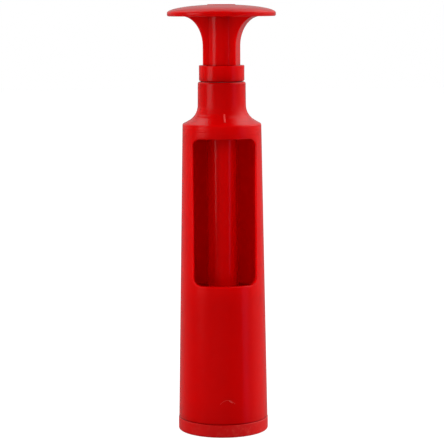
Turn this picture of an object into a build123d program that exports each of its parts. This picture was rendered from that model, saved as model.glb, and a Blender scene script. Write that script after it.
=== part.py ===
"""Plunger hand corker for wine bottles: a tapered housing with a side window, and a plunger.

The axis is Z. The origin is on the table under the middle of the base ring, and the window faces -Y.
Every size is in millimetres.
"""

import os
from math import cos, radians, sin, tan

from build123d import *

# Fits
fit_gap = 0.1  # between pieces that are pushed together and stay together
running_gap = 0.07  # round a shaft that turns or slides
free_gap = 0.3  # between moving pieces that don't guide each other
rest_gap = 0.05  # under a moving piece that rests on another

# Bottle and cork that the corker fits
bottle_mouth_radius = 15.0
bottle_mouth_gap = 0.25
bottle_bore_radius = 9.25
cork_radius = 12.5  # before it is squeezed

# Base ring
base_ring_height = 7.3
base_ring_step = 0.2  # how far it stands out past the housing
base_ring_edge = 1.0
seam_bevel = 0.5
spigot_height = 10.2
spigot_wall = 4.35
spigot_bead_height = 2.0
spigot_bead_depth = 0.7
socket_depth = 12.0
socket_lead_in = 1.0
pocket_depth = 4.5
pocket_count = 8
pocket_rib = 1.8
pocket_wall = 2.2

# Bottle gasket
gasket_thickness = 3.0
gasket_overlap = 2.2  # how far it reaches past the socket's wall
gasket_bore_gap = 0.4

# Housing
housing_wall = 3.2
chamber_gap = 6.4  # round a loose cork, at the top of the chamber
sill_height = 3.9  # from the throat's ledge to the window
window_height = 81.6
window_width = 34.4
window_corner = 4.0
window_edge = 0.5
lintel_height = 3.5  # from the window to the chamber's ceiling
ceiling_slope = 55.0  # degrees from the axis
shoulder_thickness = 4.05  # from the ceiling's edge up to the shoulder's edge
shoulder_edge_rounding = 1.2
shoulder_slope = 62.0  # degrees from the axis
neck_blend_radius = 9.5
neck_height = 13.2
neck_wall = 2.4
neck_draft = 0.15  # how much wider the neck is at its foot
neck_edge_rounding = 1.2
nib_width = 1.1
nib_depth = 0.6
nib_length = 4.6

# Throat cone
throat_top_height = 78.0
throat_flange = 3.0
throat_wall = 2.8
throat_straight = 20.5  # length of the narrow end above its lower flange
throat_mouth_depth = 6.0
throat_mouth_gap = 2.0  # round a loose cork, at the top of the taper
throat_mouth_flare = 1.6
throat_rib_count = 6
throat_rib = 2.0
ledge_height = 3.0
ledge_depth = 1.9

# Neck bush
bush_wall = 2.5
bush_flange_height = 2.0
bush_flange_depth = 1.1
bush_end_rise = 0.5  # of its lower end above the edge of the ceiling

# Plunger
plunger_turn = -19.0  # degrees about Z, of the stem's flat at rest
foot_gap = 0.35  # round the foot, in the bottle's bore and the throat
foot_lip = 0.57  # how much wider the foot is than the rod
foot_height = 8.0
foot_edge = 1.0
foot_recess = 0.2  # above the gasket's underside, and the bottle squeezes the gasket by as much
foot_spigot_height = 3.0
foot_spigot_wall = 3.33  # from the foot's spigot out to the rod's surface
foot_top_gap = 0.5  # left under the bush at the top of the travel
rod_spigot_height = 24.4
rod_spigot_wall = 2.73  # from the knob's spigot out to the rod's surface
rod_flat_depth = 1.4

# Stop collar and bumper
collar_height = 8.75
collar_wall = 4.3
collar_chamfer = 0.5
collar_edge = 0.3
collar_gap = 0.35  # seen between the collar and the neck
collar_land = 0.5  # flat ring left round the bumper
bead_height = 2.0
bead_depth = 0.8
bead_level = 3.6  # from the collar's underside
bumper_recess = 1.5

# Knob
stem_height = 27.1
stem_flat_reach = 1.17  # how far the flat stands out past the round of the stem
stem_half_thickness = 5.94
stem_edge = 0.8
flare_reach = 12.0
flare_height = 16.7
knob_radius = 30.3
knob_rim_height = 1.9
knob_rim_edge = 0.9
knob_dome_height = 4.6
knob_dish_depth = 1.8
knob_dish_margin = 3.8  # flat ring left round the dish
knob_web = 1.6
cap_lip = 0.8
cap_proud = 0.15
cap_thickness = 1.7
cap_skirt_depth = 2.2
cap_skirt_wall = 1.2
cap_edge = 0.25

# Screws and washers
screw_radius = 2.5
screw_length = 22.0
screw_head_radius = 4.4
screw_head_height = 2.7
screw_slot_width = 1.2
screw_slot_depth = 1.2
screw_hole_gap = 0.2
washer_lip = 1.2
washer_thickness = 0.9
foot_screw_radius = 2.0
foot_screw_length = 16.0
foot_screw_head_radius = 3.6
foot_screw_head_height = 2.2
foot_washer_lip = 0.8
foot_washer_thickness = 0.7
screw_head_sink = 0.6  # from the foot's face up to the screw's head
screw_end_gap = 1.0  # left in the hole under a screw's end

# Radii that follow, from the bottle outwards
socket_radius = bottle_mouth_radius + bottle_mouth_gap
gasket_radius = socket_radius + gasket_overlap
gasket_pocket_radius = gasket_radius + fit_gap
spigot_radius = gasket_pocket_radius + spigot_wall
spigot_bore_radius = spigot_radius + fit_gap
housing_foot_radius = spigot_bore_radius + housing_wall
base_ring_radius = housing_foot_radius + base_ring_step
shoulder_radius = cork_radius + chamber_gap + housing_wall

# Radii that follow, from the bore of the bottle's neck outwards
throat_bore_radius = bottle_bore_radius
foot_radius = bottle_bore_radius - foot_gap
rod_radius = foot_radius - foot_lip
rod_spigot_radius = rod_radius - rod_spigot_wall
rod_spigot_flat = rod_spigot_radius - rod_flat_depth
foot_spigot_radius = rod_radius - foot_spigot_wall
shaft_bore_radius = rod_radius + running_gap
bush_radius = shaft_bore_radius + bush_wall
neck_bore_radius = bush_radius + fit_gap
bush_flange_radius = bush_radius + bush_flange_depth
neck_top_radius = neck_bore_radius + neck_wall
neck_foot_radius = neck_top_radius + neck_draft
collar_radius = shaft_bore_radius + collar_wall
bumper_radius = collar_radius - collar_chamfer - collar_land - fit_gap
stem_half_width = rod_radius + stem_flat_reach
washer_radius = screw_head_radius + washer_lip
cap_skirt_radius = washer_radius + screw_hole_gap + cap_skirt_wall
cap_radius = cap_skirt_radius + cap_lip
foot_washer_radius = foot_screw_head_radius + foot_washer_lip

# Heights that follow, from the table up
gasket_bottom = socket_depth
gasket_top = gasket_bottom + gasket_thickness
spigot_top = base_ring_height + spigot_height
bead_bottom = base_ring_height + (spigot_height - spigot_bead_height) / 2
throat_straight_end = spigot_top + throat_straight
ledge_top = throat_top_height + ledge_height
window_bottom = ledge_top + sill_height
window_top = window_bottom + window_height
ceiling_height = window_top + lintel_height
ceiling_rise = (shoulder_radius - housing_wall - neck_bore_radius) / tan(radians(ceiling_slope))
shoulder_edge_height = ceiling_height + shoulder_thickness
blend_end_radius = neck_foot_radius + neck_blend_radius * (1 - cos(radians(shoulder_slope)))
blend_end_height = shoulder_edge_height + (shoulder_radius - blend_end_radius) / tan(radians(shoulder_slope))
neck_foot_height = blend_end_height + neck_blend_radius * sin(radians(shoulder_slope))
neck_top_height = neck_foot_height + neck_height
bush_bottom = ceiling_height + bush_end_rise
collar_bottom = neck_top_height + collar_gap
collar_top = collar_bottom + collar_height
stem_bottom = collar_top + running_gap
knob_bottom = stem_bottom + stem_height
knob_rim_top = knob_bottom + knob_rim_height
knob_top = knob_rim_top + knob_dome_height
cap_top = knob_top + cap_proud
cap_bottom = cap_top - cap_thickness
rod_spigot_top = stem_bottom + rod_spigot_height
knob_washer_bottom = rod_spigot_top + fit_gap + knob_web
foot_bottom = gasket_bottom + foot_recess
foot_top = foot_bottom + foot_height
foot_washer_top = foot_bottom + screw_head_sink + foot_screw_head_height + foot_washer_thickness
plunger_travel = bush_bottom - foot_top - foot_top_gap

# The housing narrows evenly from its foot to its shoulder
housing_taper = (housing_foot_radius - shoulder_radius) / (shoulder_edge_height - base_ring_height)
throat_seat_radius = housing_foot_radius - housing_taper * (throat_top_height - base_ring_height)
throat_seat_radius -= housing_wall
ledge_radius = throat_seat_radius - ledge_depth


def outline(*points):
    """A flat face from its corners, as (radius, height) points."""
    return Sketch() + make_face(Polyline(*points, close=True))


def rounded(face, radius, *corners):
    """The face with the corners nearest to some (radius, height) points rounded."""
    for corner in corners:
        nearest = face.vertices().sort_by_distance(Vector(*corner))[0]
        face = fillet(nearest, radius)
    return face


def turned(face):
    """A solid turned about the axis from a (radius, height) face."""
    return revolve(Plane.XZ * face, Axis.Z)


def ring(outer, inner, bottom, top):
    """A (radius, height) face for a plain ring."""
    return outline((inner, bottom), (outer, bottom), (outer, top), (inner, top))


def bar(radius, bottom, top):
    """A plain round bar on the axis."""
    return Pos(0, 0, (bottom + top) / 2) * Cylinder(radius, top - bottom)


def block(width, depth, bottom, top):
    """A block centred on the axis, between two heights."""
    return Pos(0, 0, (bottom + top) / 2) * Box(width, depth, top - bottom)


def flatted_bar(radius, half_flat, bottom, top):
    """A round bar with two flats, which keeps two pieces from turning on each other."""
    return bar(radius, bottom, top) & block(3 * radius, 2 * half_flat, bottom, top)


def around_axis(piece, count):
    """Copies of a piece, evenly spaced about the axis."""
    return [Rot(0, 0, index * 360 / count) * piece for index in range(count)]


def housing_radius(height):
    """The housing's outer radius below its shoulder."""
    return housing_foot_radius - housing_taper * (height - base_ring_height)


def neck_blend():
    """The start, middle and end of the arc from the neck to the sloping shoulder, as (radius, height)."""
    half_slope = radians(shoulder_slope / 2)
    middle_radius = neck_foot_radius + neck_blend_radius * (1 - cos(half_slope))
    middle_height = neck_foot_height - neck_blend_radius * sin(half_slope)
    start = (neck_foot_radius, neck_foot_height)
    return start, (middle_radius, middle_height), (blend_end_radius, blend_end_height)


def housing_skin(proud=0.0):
    """The outside of the housing as a (radius, height) face down to the axis, moved outwards by a little."""
    start, middle, end = [(radius + proud, height) for radius, height in neck_blend()]
    shoulder = (shoulder_radius + proud, shoulder_edge_height)
    neck_top = (neck_top_radius + proud, neck_top_height)
    foot = (housing_foot_radius + proud, base_ring_height)
    edges = [
        Polyline(end, shoulder, foot, (0, base_ring_height), (0, neck_top_height), neck_top, start),
        ThreePointArc(start, middle, end),
    ]
    face = Sketch() + make_face(edges)
    face = rounded(face, shoulder_edge_rounding, shoulder)
    return rounded(face, neck_edge_rounding, neck_top)


def housing_hollow():
    """What is cut from the inside of the housing, from the foot up to the neck's top."""
    chamber = outline(
        (0, ledge_top),
        (housing_radius(ledge_top) - housing_wall, ledge_top),
        (housing_radius(ceiling_height) - housing_wall, ceiling_height),
        (neck_bore_radius, ceiling_height + ceiling_rise),
        (0, ceiling_height + ceiling_rise),
    )
    groove_bottom = bead_bottom - fit_gap
    groove_top = bead_bottom + spigot_bead_height + fit_gap
    return [
        bar(spigot_bore_radius, base_ring_height - 1, spigot_top + fit_gap),
        bar(spigot_bore_radius + spigot_bead_depth, groove_bottom, groove_top),
        bar(throat_seat_radius, spigot_top, throat_top_height),
        bar(ledge_radius, throat_top_height - 1, ledge_top + 1),
        turned(chamber),
        bar(neck_bore_radius, ceiling_height, neck_top_height + 1),
        bar(bush_flange_radius + fit_gap, neck_top_height - bush_flange_height, neck_top_height + 1),
    ]


def window_cutter():
    """A rounded bar that cuts the cork's window through the front wall only."""
    height = window_top - window_bottom
    face = RectangleRounded(window_width, height, window_corner)
    middle = (window_bottom + window_top) / 2
    depth = housing_foot_radius + 1
    return extrude(Plane((0, 0, middle), x_dir=(1, 0, 0), z_dir=(0, -1, 0)) * face, depth)


def gate_nib():
    """The small upright ridge that moulding leaves on the front of the shoulder."""
    middle = blend_end_height + nib_length / 2
    band = block(nib_width, 4 * housing_foot_radius, middle - nib_length / 2, middle + nib_length / 2)
    front_depth = 4 * housing_foot_radius
    front = Pos(0, -front_depth / 2, 0) * block(4 * nib_width, front_depth, 0, neck_top_height)
    return turned(housing_skin(nib_depth)) & band & front


def make_housing():
    """The tapered shell with its window, shoulder and neck."""
    shell = turned(housing_skin()) + gate_nib()
    for cutter in housing_hollow():
        shell -= cutter
    shell -= window_cutter()
    return fillet(window_rims(shell), window_edge)


def window_rims(shell):
    """The curved edges round the window, inside and outside the wall."""
    rims = []
    for edge in shell.edges():
        middle = edge @ 0.5
        beside = abs(middle.X) < window_width / 2 + window_edge and middle.Y < -neck_bore_radius / 2
        level = window_bottom - window_edge < middle.Z < window_top + window_edge
        if beside and level and edge.geom_type != GeomType.LINE:
            rims.append(edge)
    return rims


def make_base_ring():
    """The ring at the foot, whose spigot snaps into the housing and whose bore takes the bottle's mouth."""
    flange = ring(base_ring_radius, socket_radius, 0, base_ring_height)
    flange = rounded(flange, base_ring_edge, (base_ring_radius, 0))
    flange = chamfer(
        flange.vertices().sort_by_distance(Vector(base_ring_radius, base_ring_height))[0], seam_bevel
    )
    flange = chamfer(flange.vertices().sort_by_distance(Vector(socket_radius, 0))[0], socket_lead_in)
    bead_peak = bead_bottom + spigot_bead_height / 2
    spigot = outline(
        (socket_radius, base_ring_height),
        (spigot_radius, base_ring_height),
        (spigot_radius, bead_bottom),
        (spigot_radius + spigot_bead_depth, bead_peak),
        (spigot_radius, bead_bottom + spigot_bead_height),
        (spigot_radius, spigot_top),
        (gasket_pocket_radius, spigot_top),
        (gasket_pocket_radius, gasket_bottom),
        (socket_radius, gasket_bottom),
    )
    body = turned(flange) + turned(spigot)
    pocket = turned(
        ring(base_ring_radius - pocket_wall, socket_radius + pocket_wall, -1, pocket_depth)
    )
    spoke = Pos(base_ring_radius / 2, 0, 0) * Box(base_ring_radius, pocket_rib, 4 * pocket_depth)
    for rib in around_axis(spoke, pocket_count):
        pocket -= rib
    return body - pocket


def make_bottle_gasket():
    """The rubber ring that the bottle's mouth seats on."""
    return turned(ring(gasket_radius, throat_bore_radius + gasket_bore_gap, gasket_bottom, gasket_top))


def make_throat_cone():
    """The funnel that squeezes the cork: a wide mouth, a long taper and a straight end over the bottle."""
    mouth_foot = throat_top_height - throat_mouth_depth
    mouth_radius = cork_radius + throat_mouth_gap
    flange_top = spigot_top + throat_flange
    flange_foot = throat_top_height - throat_flange
    funnel = outline(
        (throat_bore_radius, gasket_top),
        (gasket_radius, gasket_top),
        (gasket_radius, spigot_top),
        (throat_seat_radius - fit_gap, spigot_top),
        (throat_seat_radius - fit_gap, flange_top),
        (throat_bore_radius + throat_wall, flange_top),
        (throat_bore_radius + throat_wall, throat_straight_end),
        (mouth_radius + throat_wall, mouth_foot),
        (mouth_radius + throat_wall, flange_foot),
        (throat_seat_radius - fit_gap, flange_foot),
        (throat_seat_radius - fit_gap, throat_top_height),
        (mouth_radius + throat_mouth_flare, throat_top_height),
        (mouth_radius, mouth_foot),
        (throat_bore_radius, throat_straight_end),
    )
    web_start = throat_bore_radius + throat_wall / 2
    web_end = throat_seat_radius - 2 * fit_gap
    web = Pos((web_start + web_end) / 2, 0, (flange_top + flange_foot) / 2) * Box(
        web_end - web_start, throat_rib, flange_foot - flange_top
    )
    bore = turned(
        outline(
            (0, flange_top),
            (throat_bore_radius, flange_top),
            (throat_bore_radius, throat_straight_end),
            (mouth_radius, mouth_foot),
            (mouth_radius, flange_foot),
            (0, flange_foot),
        )
    )
    return turned(funnel) + [rib - bore for rib in around_axis(web, throat_rib_count)]


def make_neck_bush():
    """The guide in the neck: a flanged tube that the rod slides and turns in."""
    face = outline(
        (shaft_bore_radius, bush_bottom),
        (bush_radius, bush_bottom),
        (bush_radius, neck_top_height - bush_flange_height),
        (bush_flange_radius, neck_top_height - bush_flange_height),
        (bush_flange_radius, neck_top_height),
        (shaft_bore_radius, neck_top_height),
    )
    return turned(face)


def make_stop_collar():
    """The ring that stops the plunger on the neck. Its inner bead sits in the rod's groove, free to turn."""
    bore = shaft_bore_radius
    bead = collar_bottom + bead_level
    face = outline(
        (bore, collar_bottom + bumper_recess),
        (bumper_radius + fit_gap, collar_bottom + bumper_recess),
        (bumper_radius + fit_gap, collar_bottom),
        (collar_radius - collar_chamfer, collar_bottom),
        (collar_radius, collar_bottom + collar_chamfer),
        (collar_radius, collar_top),
        (bore, collar_top),
        (bore, bead + bead_height),
        (bore - bead_depth, bead + bead_height),
        (bore - bead_depth, bead),
        (bore, bead),
    )
    return turned(rounded(face, collar_edge, (collar_radius, collar_top)))


def make_bumper_washer():
    """The rubber washer under the collar that takes the blow on the neck."""
    top = collar_bottom + bumper_recess
    return turned(ring(bumper_radius, rod_radius + free_gap, neck_top_height + rest_gap, top))


def make_plunger_rod():
    """The round rod, with a groove for the collar and a flatted spigot for the knob."""
    bead = collar_bottom + bead_level
    groove = ring(
        rod_radius + 1, rod_radius - bead_depth, bead - running_gap, bead + bead_height + running_gap
    )
    body = bar(rod_radius, foot_top, stem_bottom) - turned(groove)
    body += flatted_bar(rod_spigot_radius, rod_spigot_flat, stem_bottom, rod_spigot_top)
    body += bar(foot_spigot_radius, foot_top - foot_spigot_height, foot_top)
    knob_hole = bar(screw_radius + fit_gap, rod_spigot_top - screw_length, rod_spigot_top)
    foot_hole_bottom = foot_top - foot_spigot_height
    foot_hole = bar(foot_screw_radius + fit_gap, foot_hole_bottom, foot_hole_bottom + foot_screw_length)
    return body - knob_hole - foot_hole


def make_pusher_foot():
    """The wide end of the rod, which pushes the cork and stops under the bush."""
    face = rounded(ring(foot_radius, 0, foot_bottom, foot_top), foot_edge, (foot_radius, foot_bottom))
    foot = turned(face)
    foot -= bar(foot_spigot_radius + fit_gap, foot_top - foot_spigot_height, foot_top + 1)
    foot -= bar(foot_screw_radius + screw_hole_gap, foot_bottom - 1, foot_top)
    return foot - bar(foot_washer_radius + screw_hole_gap, foot_bottom - 1, foot_washer_top)


def screw(radius, length, head_radius, head_height):
    """A pan-head screw whose head stands on height 0, with its shank below."""
    head = rounded(
        outline((0, 0), (head_radius, 0), (head_radius, head_height), (0, head_height)),
        head_height / 2,
        (head_radius, head_height),
    )
    slot = Pos(0, 0, head_height) * Box(3 * head_radius, screw_slot_width, 2 * screw_slot_depth)
    return turned(head) + bar(radius, -length, 0) - slot


def make_knob():
    """The mushroom head with its flattened stem, which flares into the underside of the head."""
    stem = bar(rod_radius, stem_bottom, knob_rim_top)
    head = turned(knob_head())
    part = stem + stem_flat() + head
    part -= flatted_bar(
        rod_spigot_radius + fit_gap, rod_spigot_flat + fit_gap, stem_bottom - 1, rod_spigot_top + fit_gap
    )
    part -= bar(screw_radius + screw_hole_gap, stem_bottom, knob_top + 1)
    part -= bar(cap_skirt_radius + fit_gap, knob_washer_bottom, knob_top + 1)
    part -= bar(cap_radius + fit_gap, cap_bottom, knob_top + 1)
    return part


def knob_head():
    """The head as a (radius, height) face: flat rim, domed top and a dished underside."""
    dome_start = (knob_radius, knob_rim_top)
    dome_end = (0, knob_top)
    dish_radius = knob_radius - knob_dish_margin
    edges = [
        EllipticalCenterArc((0, knob_rim_top), knob_radius, knob_dome_height, start_angle=0, arc_size=90),
        Polyline(
            dome_end,
            (0, knob_bottom + knob_dish_depth),
            (dish_radius - knob_dish_depth, knob_bottom + knob_dish_depth),
            (dish_radius, knob_bottom),
            (knob_radius, knob_bottom),
            dome_start,
        ),
    ]
    face = Sketch() + make_face(edges)
    return rounded(face, knob_rim_edge, (knob_radius, knob_bottom))


def stem_flat():
    """The flat on both sides of the stem, with its flare into the head."""
    top = knob_bottom + knob_dish_depth
    reach = stem_half_width + flare_reach
    height = top - stem_bottom
    face = Pos(0, stem_bottom + height / 2) * Rectangle(2 * reach, height)
    flare_start = knob_bottom - flare_height
    for side in (-1, 1):
        face -= Pos(side * reach, flare_start) * Ellipse(flare_reach, flare_height)
        below = flare_start - stem_bottom
        face -= Pos(side * reach, stem_bottom + below / 2) * Rectangle(2 * flare_reach, below)
    flat = extrude(Plane.XZ * face, stem_half_thickness, both=True)
    side_edges = [
        edge
        for edge in flat.edges()
        if abs(abs((edge @ 0.5).Y) - stem_half_thickness) < 0.01
        and stem_bottom < (edge @ 0.5).Z < knob_bottom
    ]
    return fillet(side_edges, stem_edge)


def make_knob_cap():
    """The raised disc in the middle of the knob, whose skirt plugs the hole over the screw."""
    disc = rounded(ring(cap_radius, 0, cap_bottom, cap_top), cap_edge, (cap_radius, cap_top))
    skirt_bottom = cap_bottom - cap_skirt_depth
    skirt = ring(cap_skirt_radius, cap_skirt_radius - cap_skirt_wall, skirt_bottom, cap_bottom)
    return turned(disc) + turned(skirt)


def make_knob_washer():
    """The washer under the head of the knob's screw."""
    top = knob_washer_bottom + washer_thickness
    return turned(ring(washer_radius, screw_radius + screw_hole_gap, knob_washer_bottom, top))


def make_knob_screw():
    """The screw that holds the knob on the rod."""
    seat = knob_washer_bottom + washer_thickness
    length = seat - rod_spigot_top + screw_length - screw_end_gap
    return Pos(0, 0, seat) * screw(screw_radius, length, screw_head_radius, screw_head_height)


def make_foot_washer():
    """The washer under the head of the foot's screw."""
    bottom = foot_washer_top - foot_washer_thickness
    return turned(ring(foot_washer_radius, foot_screw_radius + screw_hole_gap, bottom, foot_washer_top))


def make_foot_screw():
    """The screw that holds the pusher foot on the rod, head down."""
    seat = foot_washer_top - foot_washer_thickness
    length = foot_top - foot_spigot_height - seat + foot_screw_length - screw_end_gap
    upright = screw(foot_screw_radius, length, foot_screw_head_radius, foot_screw_head_height)
    return Pos(0, 0, seat) * Rot(180, 0, 0) * upright


PIECES = {
    "base_ring": make_base_ring,
    "bottle_gasket": make_bottle_gasket,
    "throat_cone": make_throat_cone,
    "housing": make_housing,
    "neck_bush": make_neck_bush,
    "stop_collar": make_stop_collar,
    "bumper_washer": make_bumper_washer,
    "plunger_rod": make_plunger_rod,
    "pusher_foot": make_pusher_foot,
    "foot_washer": make_foot_washer,
    "foot_screw": make_foot_screw,
    "knob": make_knob,
    "knob_washer": make_knob_washer,
    "knob_screw": make_knob_screw,
    "knob_cap": make_knob_cap,
}
TURNED_WITH_PLUNGER = ("plunger_rod", "pusher_foot", "foot_screw", "knob", "knob_screw")

os.makedirs("parts", exist_ok=True)
for name, make in PIECES.items():
    piece = make()
    if name in TURNED_WITH_PLUNGER:
        piece = Rot(0, 0, plunger_turn) * piece
    export_step(piece, f"parts/{name}.step")
print("plunger travel", round(plunger_travel, 2), "height", round(cap_top, 2))
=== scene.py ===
"""Looks of the plunger hand corker: plastic, rubber and steel, moulding marks, studio light and camera."""

import math

import bmesh
import bpy
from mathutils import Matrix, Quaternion, Vector
from mathutils.bvhtree import BVHTree


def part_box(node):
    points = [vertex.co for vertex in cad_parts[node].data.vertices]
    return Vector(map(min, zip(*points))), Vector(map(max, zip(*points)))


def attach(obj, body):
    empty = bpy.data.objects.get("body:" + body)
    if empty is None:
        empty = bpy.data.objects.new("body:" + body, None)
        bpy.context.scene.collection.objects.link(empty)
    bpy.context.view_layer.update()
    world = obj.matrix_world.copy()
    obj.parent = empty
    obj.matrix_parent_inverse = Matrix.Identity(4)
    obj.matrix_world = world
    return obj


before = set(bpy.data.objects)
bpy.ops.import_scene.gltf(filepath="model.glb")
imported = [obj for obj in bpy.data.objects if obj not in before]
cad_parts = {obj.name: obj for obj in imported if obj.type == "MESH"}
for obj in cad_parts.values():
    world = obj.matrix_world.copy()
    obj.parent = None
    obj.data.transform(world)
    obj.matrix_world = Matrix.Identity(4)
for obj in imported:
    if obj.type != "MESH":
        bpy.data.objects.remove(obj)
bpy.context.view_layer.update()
MM = 0.001

# Camera: long lens, a little above the knob, with the cork window turned slightly to the right
CAMERA_AZIMUTH = -5.0
CAMERA_DISTANCE = 0.990
CAMERA_HEIGHT = 0.24076
CAMERA_PITCH = 7.05
CAMERA_ROLL = -0.29
CAMERA_LENS = 143.4
SENSOR_WIDTH = 36.0
CAMERA_SHIFT = (-0.0009, 0.0005)
AIM_HEIGHT = 0.12

# What gloss reflects: panels as azimuth, elevation, half angle, softness and brightness
BACK_LEFT = (CAMERA_AZIMUTH - 140.0, 56.0, 17.0, 8.0, 1.0)
BACK_RIGHT = (CAMERA_AZIMUTH + 120.0, 50.0, 28.0, 10.0, 1.0)
LEFT_WALL = 0.29
RIGHT_WALL = 0.29
# Matt fill light, as azimuth, elevation, distance, size and brightness
FILLS = (
    (CAMERA_AZIMUTH - 70.0, 15.0, 1.2, 0.9, 2.15),
    (CAMERA_AZIMUTH - 70.0, 45.0, 1.2, 0.9, 0.9),
    (CAMERA_AZIMUTH + 35.0, 15.0, 1.2, 0.9, 0.4),
    (CAMERA_AZIMUTH + 70.0, 15.0, 1.2, 0.9, 2.25),
    (CAMERA_AZIMUTH + 110.0, 15.0, 1.2, 0.9, 0.9),
)
# Tall strips that gloss reflects, as azimuth, elevation, distance, width, height and brightness
LEFT_STRIP = (CAMERA_AZIMUTH - 60.5, 0.0, 0.8, 0.38, 0.58, 0.6)
LEFT_STRIP_MIDDLE = 0.31
RIGHT_STRIP = (CAMERA_AZIMUTH + 62.0, 0.0, 0.9, 0.28, 0.6, 0.2)
RIGHT_STRIP_TINT = (0.9, 0.4, 1.0)
FLOOR_TONE = 0.35
FLOOR_GLOW = 0.9

# Heights on the housing
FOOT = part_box("housing")[0].z
NECK_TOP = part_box("housing")[1].z
NECK_FOOT = NECK_TOP - 13.2 * MM
SCAR_HEIGHT = FOOT + 12.9 * MM
NIB_FOOT = NECK_FOOT - 8.3 * MM
NIB_LENGTH = 4.05 * MM
TURNED_BAND = (NECK_TOP - 31.0 * MM, NECK_TOP - 12.0 * MM)
TURNED_FADE = 3.0 * MM
# Foot seam, and how far up the painted shade above it reaches
SEAM = (FOOT, 0.8 * MM)


# ---------------------------------------------------------------- materials


class Finish:
    """A node material on one Principled shader, built a node at a time."""

    def __init__(self, name, **values):
        self.material = bpy.data.materials.new(name)
        self.material.use_nodes = True
        self.nodes = self.material.node_tree.nodes
        self.links = self.material.node_tree.links
        self.shader = self.nodes["Principled BSDF"]
        for key, value in values.items():
            self.shader.inputs[key.replace("_", " ")].default_value = value
        self.place = self.node("ShaderNodeTexCoord").outputs["Object"]

    def node(self, kind, inputs=None, **settings):
        """A node with its settings, and inputs that are numbers or other nodes' outputs."""
        made = self.nodes.new(kind)
        for key, value in settings.items():
            setattr(made, key, value)
        for key, value in (inputs or {}).items():
            if isinstance(value, bpy.types.NodeSocket):
                self.links.new(value, made.inputs[key])
            else:
                made.inputs[key].default_value = value
        return made

    def stretched(self, scale):
        """The place on the object, stretched differently along X, Y and Z."""
        return self.node("ShaderNodeMapping", {"Vector": self.place, "Scale": scale}).outputs[0]

    def noise(self, scale, detail=2.0, vector=None, roughness=0.5):
        """Cloudy noise, in periods per metre."""
        inputs = {"Vector": vector or self.place, "Scale": scale, "Detail": detail, "Roughness": roughness}
        return self.node("ShaderNodeTexNoise", inputs).outputs["Fac"]

    def ramp(self, value, low, high, to_low=0.0, to_high=1.0):
        """A value stretched from one range onto another, and held within it."""
        inputs = {"Value": value, "From Min": low, "From Max": high, "To Min": to_low, "To Max": to_high}
        return self.node("ShaderNodeMapRange", inputs).outputs[0]

    def math(self, operation, first, second=0.0):
        """One sum on two values."""
        return self.node("ShaderNodeMath", {0: first, 1: second}, operation=operation).outputs[0]

    def mix(self, share, first, second):
        """Two colours mixed by a share."""
        mixed = self.node("ShaderNodeMix", {"Factor": share}, data_type="RGBA")
        for socket, value in ((mixed.inputs[6], first), (mixed.inputs[7], second)):
            if isinstance(value, bpy.types.NodeSocket):
                self.links.new(value, socket)
            else:
                socket.default_value = (*value, 1.0)
        return mixed.outputs[2]

    def height(self):
        """The height above the table, in metres."""
        return self.node("ShaderNodeSeparateXYZ", {0: self.place}).outputs["Z"]

    def bump(self, height, distance, below=None):
        """Raises the surface by a height map, over an earlier bump."""
        inputs = {"Height": height, "Distance": distance, "Strength": 1.0}
        if below:
            inputs["Normal"] = below
        return self.node("ShaderNodeBump", inputs).outputs[0]

    def set(self, name, value):
        """Links a value that varies over the surface to the shader."""
        self.links.new(value, self.shader.inputs[name])


def moulded_plastic(
    name,
    colour,
    deep,
    roughness,
    grain=1.0,
    rings=0.0,
    turned=None,
    seam=None,
    scuffs=0.0,
    scuff_top=0.0,
    sheen=0.5,
    depth=0.85,
):
    """Glossy moulded plastic: slightly uneven colour and gloss, fine skin grain, marks of mould and use, and
    painted shade along a seam.

    rings: height in mm of the fine marks that a turned mould leaves
    turned: heights between which those marks are coarse
    seam: height of the foot seam, and how far up the painted shade above it reaches
    scuffs, scuff_top: strength of the worn spots, and how far up they go
    sheen, depth: how strongly the skin reflects, and how much light goes into the plastic
    """
    finish = Finish(
        name,
        IOR=1.46,
        Subsurface_Weight=depth,
        Subsurface_Scale=0.007,
        Subsurface_Radius=(1.0, 0.1, 0.1),
        Specular_IOR_Level=sheen,
    )
    cloud = finish.ramp(finish.noise(38.0, 3.0), 0.3, 0.7)
    tint = finish.mix(cloud, deep, colour)
    patchy = finish.ramp(finish.noise(120.0, 4.0), 0.25, 0.75, roughness * 0.86, roughness * 1.16)
    skin = finish.bump(finish.noise(1200.0, 1.0), 0.0015 * MM * grain)
    swell = finish.bump(finish.noise(95.0, 1.0), 0.03 * MM * grain, skin)
    normal = swell
    if rings:
        turning = finish.noise(1.0, 3.0, finish.stretched((30.0, 30.0, 2600.0)), 0.6)
        normal = finish.bump(turning, rings * MM, normal)
    if turned:
        start = finish.ramp(finish.height(), turned[0], turned[0] + TURNED_FADE)
        stop = finish.ramp(finish.height(), turned[1], turned[1] - TURNED_FADE)
        coarse = finish.noise(1.0, 2.0, finish.stretched((30.0, 30.0, 760.0)), 0.6)
        coarse = finish.math("MULTIPLY", coarse, finish.math("MULTIPLY", start, stop))
        normal = finish.bump(coarse, 0.45 * MM, normal)
    if seam:
        # Painted shade: the red is darkened towards (0.5, 0, 0) just above the seam, standing in for the
        # shadow in the groove where the housing meets the base ring
        seam_shade = finish.ramp(finish.height(), seam[0] + seam[1], seam[0] + 0.4 * seam[1])
        tint = finish.mix(seam_shade, tint, (0.5, 0.0, 0.0))
    if scuffs:
        spots = finish.ramp(finish.noise(620.0, 5.0, None, 0.7), 0.5, 0.64)
        zone = finish.ramp(finish.height(), scuff_top, 0.0)
        patches = finish.ramp(finish.noise(110.0, 2.0), 0.4, 0.6)
        worn = finish.math("MULTIPLY", finish.math("MULTIPLY", spots, zone), patches)
        worn = finish.math("MULTIPLY", worn, scuffs)
        tint = finish.mix(worn, tint, (0.95, 0.07, 0.05))
        patchy = finish.math("ADD", patchy, finish.math("MULTIPLY", worn, 0.3))
        normal = finish.bump(worn, 0.03 * MM, normal)
    finish.set("Base Color", tint)
    finish.set("Roughness", patchy)
    finish.set("Normal", normal)
    return finish.material


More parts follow.
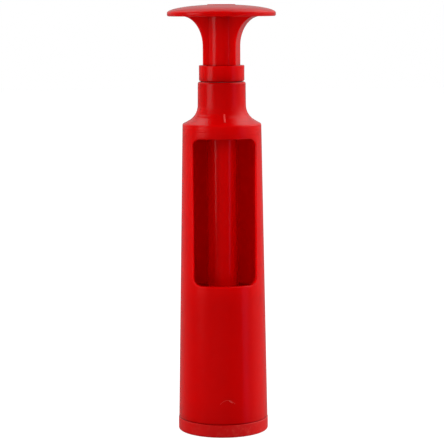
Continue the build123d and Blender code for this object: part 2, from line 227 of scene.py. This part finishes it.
def natural_acetal():
    """Off-white, waxy plastic of the neck's guide bush."""
    finish = Finish("natural_acetal", IOR=1.48, Subsurface_Weight=0.15, Subsurface_Scale=0.002)
    cloud = finish.ramp(finish.noise(60.0, 3.0), 0.3, 0.7)
    finish.set("Base Color", finish.mix(cloud, (0.70, 0.67, 0.58), (0.78, 0.76, 0.69)))
    finish.set("Roughness", finish.ramp(finish.noise(400.0, 3.0), 0.3, 0.7, 0.38, 0.5))
    turning = finish.noise(1.0, 2.0, finish.stretched((40.0, 40.0, 3000.0)))
    finish.set("Normal", finish.bump(turning, 0.008 * MM))
    return finish.material


def black_rubber():
    """Matt black rubber with a fine grain and a little bloom."""
    finish = Finish("black_rubber", IOR=1.5, Specular_IOR_Level=0.35)
    bloom = finish.ramp(finish.noise(220.0, 4.0), 0.45, 0.75)
    finish.set("Base Color", finish.mix(bloom, (0.012, 0.012, 0.013), (0.032, 0.031, 0.030)))
    finish.set("Roughness", finish.ramp(finish.noise(700.0, 3.0), 0.3, 0.7, 0.55, 0.75))
    finish.set("Normal", finish.bump(finish.noise(2400.0, 3.0), 0.02 * MM))
    return finish.material


def plated_steel():
    """Bright plated steel with fine turning marks."""
    finish = Finish("plated_steel", Metallic=1.0)
    cloud = finish.ramp(finish.noise(300.0, 3.0), 0.3, 0.7)
    finish.set("Base Color", finish.mix(cloud, (0.52, 0.52, 0.54), (0.66, 0.66, 0.67)))
    finish.set("Roughness", finish.ramp(finish.noise(900.0, 4.0), 0.3, 0.7, 0.2, 0.36))
    turning = finish.noise(1.0, 2.0, finish.stretched((300.0, 300.0, 9000.0)))
    finish.set("Normal", finish.bump(turning, 0.004 * MM))
    return finish.material


RED = (0.90, 0.0006, 0.0008)
DEEP_RED = (0.87, 0.0004, 0.0006)
LINE_RED = (0.80, 0.0006, 0.0008)
DEEP_LINE_RED = (0.76, 0.0, 0.0)
# Pale reds of the moulding marks: painted highlight, standing in for the glint that the nib and the gate
# marks catch
PAINTED_HIGHLIGHT_RED = (0.94, 0.08, 0.07)
DEEP_PAINTED_HIGHLIGHT_RED = (0.92, 0.04, 0.04)
FINISHES = {
    # The housing's finish paints shade along its foot seam
    "housing": moulded_plastic(
        "housing_plastic", RED, DEEP_RED, 0.21, rings=0.003, turned=TURNED_BAND, seam=SEAM
    ),
    "base_ring": moulded_plastic(
        "ring_plastic",
        RED,
        DEEP_RED,
        0.36,
        grain=1.5,
        rings=0.003,
        scuffs=0.9,
        scuff_top=0.013,
        sheen=0.6,
        depth=0.35,
    ),
    "plunger": moulded_plastic("plunger_plastic", RED, DEEP_RED, 0.19, grain=0.6),
    "throat": moulded_plastic("throat_plastic", RED, DEEP_RED, 0.22, grain=0.6),
    "mould_line": moulded_plastic("line_plastic", LINE_RED, DEEP_LINE_RED, 0.25, depth=0.0),
    # Painted highlight: pale red for the gate marks and the nib crest
    "gate": moulded_plastic("gate_painted_highlight", PAINTED_HIGHLIGHT_RED, DEEP_PAINTED_HIGHLIGHT_RED, 0.3, depth=0.0),
    "acetal": natural_acetal(),
    "rubber": black_rubber(),
    "steel": plated_steel(),
}
NODE_FINISH = {
    "housing": "housing",
    "base_ring": "base_ring",
    "throat_cone": "throat",
    "neck_bush": "acetal",
    "bottle_gasket": "rubber",
    "bumper_washer": "rubber",
    "foot_washer": "steel",
    "foot_screw": "steel",
    "knob_washer": "steel",
    "knob_screw": "steel",
}


def finish_nodes():
    """Gives each CAD node its finish; the plunger's own plastic is the one for all others."""
    for name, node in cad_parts.items():
        node.data.materials.clear()
        node.data.materials.append(FINISHES[NODE_FINISH.get(name, "plunger")])


# ---------------------------------------------------------------- moulding marks


def surface_of(name):
    """A ray target of one CAD node, at rest."""
    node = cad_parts[name]
    mesh = node.data
    return BVHTree.FromPolygons([v.co for v in mesh.vertices], [p.vertices for p in mesh.polygons])


def ridge(name, points, normals, width, height, body, slot, material, closed=False):
    """A fine raised line along a row of surface points: two sunken feet with a crest between them."""
    mesh = bmesh.new()
    rows = []
    count = len(points)
    for index, (point, normal) in enumerate(zip(points, normals)):
        ahead = points[(index + 1) % count] if closed or index < count - 1 else point
        behind = points[index - 1] if closed or index else point
        across = (ahead - behind).cross(normal).normalized() * (width / 2)
        foot = point - normal * height
        row = [foot - across, point - across * 0.3 + normal * height, point + across * 0.3 + normal * height]
        rows.append([mesh.verts.new(corner) for corner in [*row, foot + across]])
    pairs = list(zip(rows, rows[1:])) + ([(rows[-1], rows[0])] if closed else [])
    for low, high in pairs:
        for side in range(4):
            beside = (side + 1) % 4
            mesh.faces.new((low[side], low[beside], high[beside], high[side]))
    if not closed:
        mesh.faces.new(reversed(rows[0]))
        mesh.faces.new(rows[-1])
    bmesh.ops.recalc_face_normals(mesh, faces=mesh.faces)
    return add_piece(name, mesh, body, material)


def add_piece(name, mesh, body, material):
    """Makes an object of a bmesh, gives it its finish and lets it ride on its body."""
    data = bpy.data.meshes.new(name)
    mesh.to_mesh(data)
    mesh.free()
    data.shade_smooth()
    data.materials.append(material)
    piece = bpy.data.objects.new(name, data)
    bpy.context.scene.collection.objects.link(piece)
    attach(piece, body)
    return piece


def parting_lines():
    """The mould's parting line, down both sides of the housing."""
    low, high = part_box("housing")
    shell = surface_of("housing")
    steps = 120
    for side, label in ((1, "right"), (-1, "left")):
        points, normals = [], []
        for step in range(steps + 1):
            height = low.z + 0.4 * MM + (high.z - low.z - 2.0 * MM) * step / steps
            start = Vector((side * 2 * high.x, 0.0, height))
            point, normal, _, _ = shell.ray_cast(start, Vector((-side, 0.0, 0.0)))
            points.append(point)
            normals.append(normal)
        name = "housing_parting_line_" + label
        look = ("housing", "housing_red", FINISHES["mould_line"])
        ridge(name, points, normals, 0.24 * MM, 0.035 * MM, *look)


def moulding_mark(name, places, width, height):
    """A fine raised mark on the housing, through places given as azimuth and height above the table, in a
    pale red that paints the highlight it catches.
    """
    shell = surface_of("housing")
    points, normals = [], []
    for azimuth, up in places:
        out = from_azimuth(azimuth)
        point, normal, _, _ = shell.ray_cast(out * 0.1 + Vector((0.0, 0.0, up)), -out)
        points.append(point)
        normals.append(normal)
    ridge(name, points, normals, width, height, "housing", "housing_red", FINISHES["gate"])


def gate_scar():
    """The faint crescent low on the front, where the plastic was let in, and the brighter nick beside it,
    both in pale red as a painted highlight.
    """
    arc = []
    for step in range(25):
        across = 2.0 * step / 24 - 1.0
        arc.append((0.7 + 9.6 * across, SCAR_HEIGHT + (1.2 - 2.3 * across * across) * MM))
    moulding_mark("gate_scar", arc, 0.32 * MM, 0.04 * MM)
    nick = [(2.6 + 4.2 * step / 8, SCAR_HEIGHT + (0.9 - 1.3 * step / 8) * MM) for step in range(9)]
    moulding_mark("gate_nick", nick, 0.7 * MM, 0.15 * MM)


def nib_crest():
    """The rounded crest of the small upright nib on the front of the shoulder, in pale red as a painted
    highlight of the glint it catches.
    """
    places = [(0.0, NIB_FOOT + NIB_LENGTH * step / 9) for step in range(10)]
    moulding_mark("shoulder_nib_crest", places, 1.2 * MM, 0.3 * MM)


def rim_line():
    """The fine line round the widest part of the knob, where the halves of its mould met."""
    knob = surface_of("knob")
    low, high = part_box("knob")
    head_height = high.z - 5.1 * MM
    count = 180
    points, normals = [], []
    for step in range(count):
        angle = 2 * math.pi * step / count
        out = Vector((math.cos(angle), math.sin(angle), 0.0))
        start = out * 2 * high.x
        start.z = head_height
        point, normal, _, _ = knob.ray_cast(start, -out)
        points.append(point)
        normals.append(normal)
    look = ("plunger", "plunger_red", FINISHES["mould_line"])
    ridge("knob_rim_line", points, normals, 0.22 * MM, 0.03 * MM, *look, closed=True)


# ---------------------------------------------------------------- stage, light and camera


def from_azimuth(azimuth, elevation=0.0):
    """The direction to something at an azimuth and elevation; azimuth 0 is in front, at -Y."""
    a, e = math.radians(azimuth), math.radians(elevation)
    return Vector((math.sin(a) * math.cos(e), -math.cos(a) * math.cos(e), math.sin(e)))


def softbox(name, azimuth, elevation, distance, width, height, radiance):
    """A rectangular studio light that faces the object."""
    data = bpy.data.lights.new(name, "AREA")
    data.shape = "RECTANGLE"
    data.size, data.size_y = width, height
    data.energy = radiance * 4 * width * height
    light = bpy.data.objects.new(name, data)
    direction = from_azimuth(azimuth, elevation)
    light.location = direction * distance + Vector((0.0, 0.0, AIM_HEIGHT))
    light.rotation_mode = "QUATERNION"
    light.rotation_quaternion = direction.to_track_quat("Z", "Y")
    light.visible_camera = False
    bpy.context.scene.collection.objects.link(light)
    return light


class Sky:
    """The studio round the object, as brightness by direction."""

    def __init__(self):
        world = bpy.data.worlds.new("studio")
        bpy.context.scene.world = world
        world.use_nodes = True
        self.nodes, self.links = world.node_tree.nodes, world.node_tree.links
        self.nodes.clear()
        self.direction = self.nodes.new("ShaderNodeTexCoord").outputs["Generated"]

    def along(self, axis):
        """How far the direction leans towards an axis: 1 along it, 0 square to it, -1 away from it."""
        lean = self.nodes.new("ShaderNodeVectorMath")
        lean.operation = "DOT_PRODUCT"
        self.links.new(self.direction, lean.inputs[0])
        lean.inputs[1].default_value = axis
        return lean.outputs["Value"]

    def ramp(self, value, start, end, first, last):
        """A smooth change of brightness, from one lean to another."""
        ramp = self.nodes.new("ShaderNodeMapRange")
        ramp.interpolation_type = "SMOOTHSTEP"
        self.links.new(value, ramp.inputs["Value"])
        for key, number in (("From Min", start), ("From Max", end), ("To Min", first), ("To Max", last)):
            ramp.inputs[key].default_value = number
        return ramp.outputs[0]

    def sum(self, operation, first, second):
        """Two brightnesses added or multiplied."""
        node = self.nodes.new("ShaderNodeMath")
        node.operation = operation
        for socket, value in zip(node.inputs, (first, second)):
            self.links.new(value, socket)
        return node.outputs[0]

    def panel(self, azimuth, elevation, half_angle, softness, radiance):
        """A round soft panel of light in one direction."""
        lean = self.along(from_azimuth(azimuth, elevation))
        outer = math.cos(math.radians(half_angle + softness))
        inner = math.cos(math.radians(half_angle - softness))
        return self.ramp(lean, outer, inner, 0.0, radiance)

    def finish(self, brightness):
        """White for the camera, and the summed brightness for everything else."""
        seen = self.nodes.new("ShaderNodeBackground")
        seen.inputs["Color"].default_value = (1.0, 1.0, 1.0, 1.0)
        felt = self.nodes.new("ShaderNodeBackground")
        self.links.new(brightness, felt.inputs["Strength"])
        choose = self.nodes.new("ShaderNodeMixShader")
        self.links.new(self.nodes.new("ShaderNodeLightPath").outputs["Is Camera Ray"], choose.inputs[0])
        self.links.new(felt.outputs[0], choose.inputs[1])
        self.links.new(seen.outputs[0], choose.inputs[2])
        self.links.new(choose.outputs[0], self.nodes.new("ShaderNodeOutputWorld").inputs["Surface"])


def make_world():
    """Dark in front and overhead, two high panels behind left and right, and a dim white room behind."""
    sky = Sky()
    front = sky.along(from_azimuth(CAMERA_AZIMUTH))
    right = sky.along(from_azimuth(CAMERA_AZIMUTH + 90.0))
    up = sky.along(Vector((0.0, 0.0, 1.0)))
    to_right = sky.ramp(right, -0.2, 0.4, 0.0, 1.0)
    to_left = sky.ramp(right, 0.4, -0.2, 0.0, 1.0)
    right_wall = sky.sum("MULTIPLY", sky.ramp(front, 0.62, -0.4, 0.0, RIGHT_WALL), to_right)
    left_wall = sky.sum("MULTIPLY", sky.ramp(front, 0.25, -1.0, 0.03, LEFT_WALL), to_left)
    walls = sky.sum("ADD", right_wall, left_wall)
    lifted = sky.sum("MULTIPLY", walls, sky.ramp(up, -0.05, 0.2, 1.0, 1.9))
    walls = sky.sum("MULTIPLY", lifted, sky.ramp(up, 0.65, 0.88, 1.0, 0.15))
    panels = sky.sum("ADD", sky.panel(*BACK_LEFT), sky.panel(*BACK_RIGHT))
    sky.finish(sky.sum("ADD", walls, panels))


def make_lights():
    """A tall strip each side, the left one ending just above the table, and matt fill lights."""
    softbox("left_strip", *LEFT_STRIP).location.z = LEFT_STRIP_MIDDLE
    softbox("right_strip", *RIGHT_STRIP).data.color = RIGHT_STRIP_TINT
    for index, (azimuth, elevation, distance, size, radiance) in enumerate(FILLS):
        fill = softbox(f"fill_{index}", azimuth, elevation, distance, size, size, radiance)
        fill.visible_glossy = False


def make_floor():
    """A plain pale floor, white to the camera, which glossy surfaces don't mirror."""
    mesh = bmesh.new()
    bmesh.ops.create_circle(mesh, cap_ends=True, segments=96, radius=4.0)
    data = bpy.data.meshes.new("floor")
    mesh.to_mesh(data)
    mesh.free()
    floor = bpy.data.objects.new("floor", data)
    floor.location.z = -0.05 * MM
    floor.visible_glossy = False
    bpy.context.scene.collection.objects.link(floor)
    finish = Finish("floor_paper", Roughness=0.9, Specular_IOR_Level=0.0)
    low, high = (FLOOR_TONE * 0.98,) * 3, (FLOOR_TONE * 1.02,) * 3
    finish.set("Base Color", finish.mix(finish.noise(3.0), low, high))
    finish.shader.inputs["Emission Color"].default_value = (1.0, 1.0, 1.0, 1.0)
    seen = finish.node("ShaderNodeLightPath").outputs["Is Camera Ray"]
    finish.set("Emission Strength", finish.math("MULTIPLY", seen, FLOOR_GLOW))
    data.materials.append(finish.material)


def make_camera():
    """The camera, aimed at the axis and pitched down, with the small roll of a hand-set tripod."""
    data = bpy.data.cameras.new("camera")
    data.lens = CAMERA_LENS
    data.sensor_width = SENSOR_WIDTH
    data.clip_start, data.clip_end = 0.05, 20.0
    data.shift_x, data.shift_y = CAMERA_SHIFT
    camera = bpy.data.objects.new("camera", data)
    level = from_azimuth(CAMERA_AZIMUTH)
    camera.location = level * CAMERA_DISTANCE + Vector((0.0, 0.0, CAMERA_HEIGHT))
    pitch = math.radians(CAMERA_PITCH)
    back = level * math.cos(pitch) + Vector((0.0, 0.0, math.sin(pitch)))
    camera.rotation_mode = "QUATERNION"
    turn = back.to_track_quat("Z", "Y")
    camera.rotation_quaternion = turn @ Quaternion((0.0, 0.0, 1.0), math.radians(CAMERA_ROLL))
    bpy.context.scene.collection.objects.link(camera)
    bpy.context.scene.camera = camera


bpy.context.scene.view_settings.view_transform = "Standard"
make_camera()
make_world()
make_floor()
make_lights()
finish_nodes()
parting_lines()
gate_scar()
nib_crest()
rim_line()
